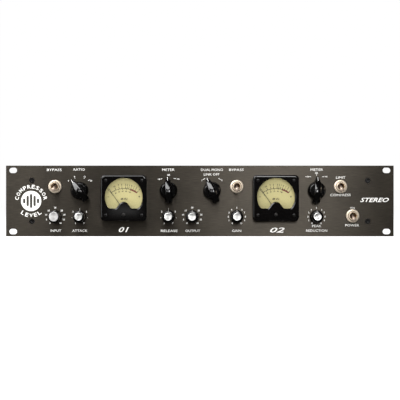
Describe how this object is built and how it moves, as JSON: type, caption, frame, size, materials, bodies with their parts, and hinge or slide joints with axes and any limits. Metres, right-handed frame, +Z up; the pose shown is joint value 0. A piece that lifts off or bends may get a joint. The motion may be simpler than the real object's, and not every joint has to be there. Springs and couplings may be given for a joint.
{
  "type": "rack compressor",
  "caption": "Two-channel studio compressor in a two-unit 19 inch rack case, with needle meters, turning knobs, toggle switches and rear sockets.",
  "frame": {"origin": "middle of the footprint, at the height of the front panel's lower edge", "axes": "+X to the right seen from the front, +Y from the front panel to the rear, +Z up"},
  "size_m": [0.4826, 0.2302, 0.0881],
  "materials": {
    "panel": "black-brown anodised, finely brushed along its length",
    "case_steel": "black powder coat, fine texture",
    "black_screw": "black oxide, satin",
    "knob": "polished black",
    "shaft_steel": "turned",
    "board": "green solder mask, semi-matt",
    "nickel": "bright nickel, slightly warm",
    "meter_moulding": "polished black moulding",
    "meter_case": "matt black moulding",
    "dial": "aged cream paint, matt",
    "glass": "clear, polished",
    "needle": "matt black",
    "adjuster": "satin black",
    "connector_shell": "satin black",
    "latch": "satin black moulding",
    "inlet_moulding": "satin black moulding",
    "winding": "varnished amber tape over copper"
  },
  "bodies": {
    "case": {"chassis_tray": "case_steel", "front_panel": "panel", "left_bypass_switch": "nickel", "left_control_board": "board", "left_input_jack": "connector_shell", "left_meter_case": "meter_case", "left_meter_cover": "meter_moulding", "left_meter_dial": "dial", "left_meter_window": "glass", "left_output_jack": "connector_shell", "limit_compress_switch": "nickel", "lower_left_panel_screw": "black_screw", "lower_right_panel_screw": "black_screw", "main_board": "board", "mains_inlet": "inlet_moulding", "power_switch": "nickel", "power_transformer": "winding", "rear_panel": "case_steel", "right_bypass_switch": "nickel", "right_control_board": "board", "right_input_jack": "connector_shell", "right_meter_case": "meter_case", "right_meter_cover": "meter_moulding", "right_meter_dial": "dial", "right_meter_window": "glass", "right_output_jack": "connector_shell", "top_cover": "case_steel", "transformer_clamp": "shaft_steel", "upper_left_panel_screw": "black_screw", "upper_right_panel_screw": "black_screw"},
    "input_control": {"input_knob": "knob", "input_shaft": "shaft_steel"},
    "attack_control": {"attack_knob": "knob", "attack_shaft": "shaft_steel"},
    "release_control": {"release_knob": "knob", "release_shaft": "shaft_steel"},
    "output_control": {"output_knob": "knob", "output_shaft": "shaft_steel"},
    "gain_control": {"gain_knob": "knob", "gain_shaft": "shaft_steel"},
    "peak_reduction_control": {"peak_reduction_knob": "knob", "peak_reduction_shaft": "shaft_steel"},
    "ratio_control": {"ratio_knob": "knob", "ratio_shaft": "shaft_steel"},
    "left_meter_select_control": {"left_meter_select_knob": "knob", "left_meter_select_shaft": "shaft_steel"},
    "link_control": {"link_knob": "knob", "link_shaft": "shaft_steel"},
    "right_meter_select_control": {"right_meter_select_knob": "knob", "right_meter_select_shaft": "shaft_steel"},
    "left_bypass_bat": {"left_bypass_lever": "nickel"},
    "right_bypass_bat": {"right_bypass_lever": "nickel"},
    "limit_compress_bat": {"limit_compress_lever": "nickel"},
    "power_bat": {"power_lever": "nickel"},
    "left_meter_movement": {"left_meter_needle": "needle"},
    "left_meter_adjuster": {"left_meter_zero_screw": "adjuster"},
    "right_meter_movement": {"right_meter_needle": "needle"},
    "right_meter_adjuster": {"right_meter_zero_screw": "adjuster"},
    "left_input_release": {"left_input_jack_latch": "latch"},
    "right_input_release": {"right_input_jack_latch": "latch"}
  },
  "joints": [
    {"name": "input_turn", "type": "hinge", "parent": "case", "child": "input_control", "pos_m": [-0.18, -0.09558, 0.02455], "axis": [0, 1, 0], "range_deg": [-140, 140]},
    {"name": "attack_turn", "type": "hinge", "parent": "case", "child": "attack_control", "pos_m": [-0.1495, -0.09558, 0.02455], "axis": [0, 1, 0], "range_deg": [-150, 150]},
    {"name": "release_turn", "type": "hinge", "parent": "case", "child": "release_control", "pos_m": [-0.039, -0.09558, 0.02455], "axis": [0, 1, 0], "range_deg": [-150, 150]},
    {"name": "output_turn", "type": "hinge", "parent": "case", "child": "output_control", "pos_m": [-0.0095, -0.09558, 0.02455], "axis": [0, 1, 0], "range_deg": [-140, 140]},
    {"name": "gain_turn", "type": "hinge", "parent": "case", "child": "gain_control", "pos_m": [0.046, -0.09558, 0.02455], "axis": [0, 1, 0], "range_deg": [-150, 150]},
    {"name": "peak_reduction_turn", "type": "hinge", "parent": "case", "child": "peak_reduction_control", "pos_m": [0.1452, -0.09558, 0.02455], "axis": [0, 1, 0], "range_deg": [-150, 150]},
    {"name": "ratio_turn", "type": "hinge", "parent": "case", "child": "ratio_control", "pos_m": [-0.1495, -0.09558, 0.05705], "axis": [0, 1, 0], "range_deg": [0, 84]},
    {"name": "left_meter_select_turn", "type": "hinge", "parent": "case", "child": "left_meter_select_control", "pos_m": [-0.039, -0.09558, 0.05705], "axis": [0, 1, 0], "range_deg": [-30, 30]},
    {"name": "link_turn", "type": "hinge", "parent": "case", "child": "link_control", "pos_m": [0.015, -0.09558, 0.05705], "axis": [0, 1, 0], "range_deg": [0, 52]},
    {"name": "right_meter_select_turn", "type": "hinge", "parent": "case", "child": "right_meter_select_control", "pos_m": [0.1452, -0.09558, 0.05705], "axis": [0, 1, 0], "range_deg": [-30, 30]},
    {"name": "left_bypass_throw", "type": "hinge", "parent": "case", "child": "left_bypass_bat", "pos_m": [-0.18, -0.09458, 0.06205], "axis": [-1, 0, 0], "range_deg": [0, 24]},
    {"name": "right_bypass_throw", "type": "hinge", "parent": "case", "child": "right_bypass_bat", "pos_m": [0.046, -0.09458, 0.06205], "axis": [-1, 0, 0], "range_deg": [0, 24]},
    {"name": "limit_compress_throw", "type": "hinge", "parent": "case", "child": "limit_compress_bat", "pos_m": [0.175, -0.09458, 0.06205], "axis": [-1, 0, 0], "range_deg": [0, 24]},
    {"name": "power_throw", "type": "hinge", "parent": "case", "child": "power_bat", "pos_m": [0.19, -0.09458, 0.02555], "axis": [-1, 0, 0], "range_deg": [0, 24]},
    {"name": "left_meter_swing", "type": "hinge", "parent": "case", "child": "left_meter_movement", "pos_m": [-0.0942, -0.09958, 0.03205], "axis": [0, 1, 0], "range_deg": [0, 72], "stiffness_Nm_per_rad": 0.00005},
    {"name": "left_meter_zero_turn", "type": "hinge", "parent": "case", "child": "left_meter_adjuster", "pos_m": [-0.0942, -0.10658, 0.02705], "axis": [0, 1, 0], "range_deg": [-90, 90]},
    {"name": "right_meter_swing", "type": "hinge", "parent": "case", "child": "right_meter_movement", "pos_m": [0.0942, -0.09958, 0.03205], "axis": [0, 1, 0], "range_deg": [0, 72], "stiffness_Nm_per_rad": 0.00005},
    {"name": "right_meter_zero_turn", "type": "hinge", "parent": "case", "child": "right_meter_adjuster", "pos_m": [0.0942, -0.10658, 0.02705], "axis": [0, 1, 0], "range_deg": [-90, 90]},
    {"name": "left_input_latch_press", "type": "slide", "parent": "case", "child": "left_input_release", "axis": [0, -1, 0], "range_m": [0, 0.0014], "stiffness_N_per_m": 500},
    {"name": "right_input_latch_press", "type": "slide", "parent": "case", "child": "right_input_release", "axis": [0, -1, 0], "range_m": [0, 0.0014], "stiffness_N_per_m": 500}
  ]
}
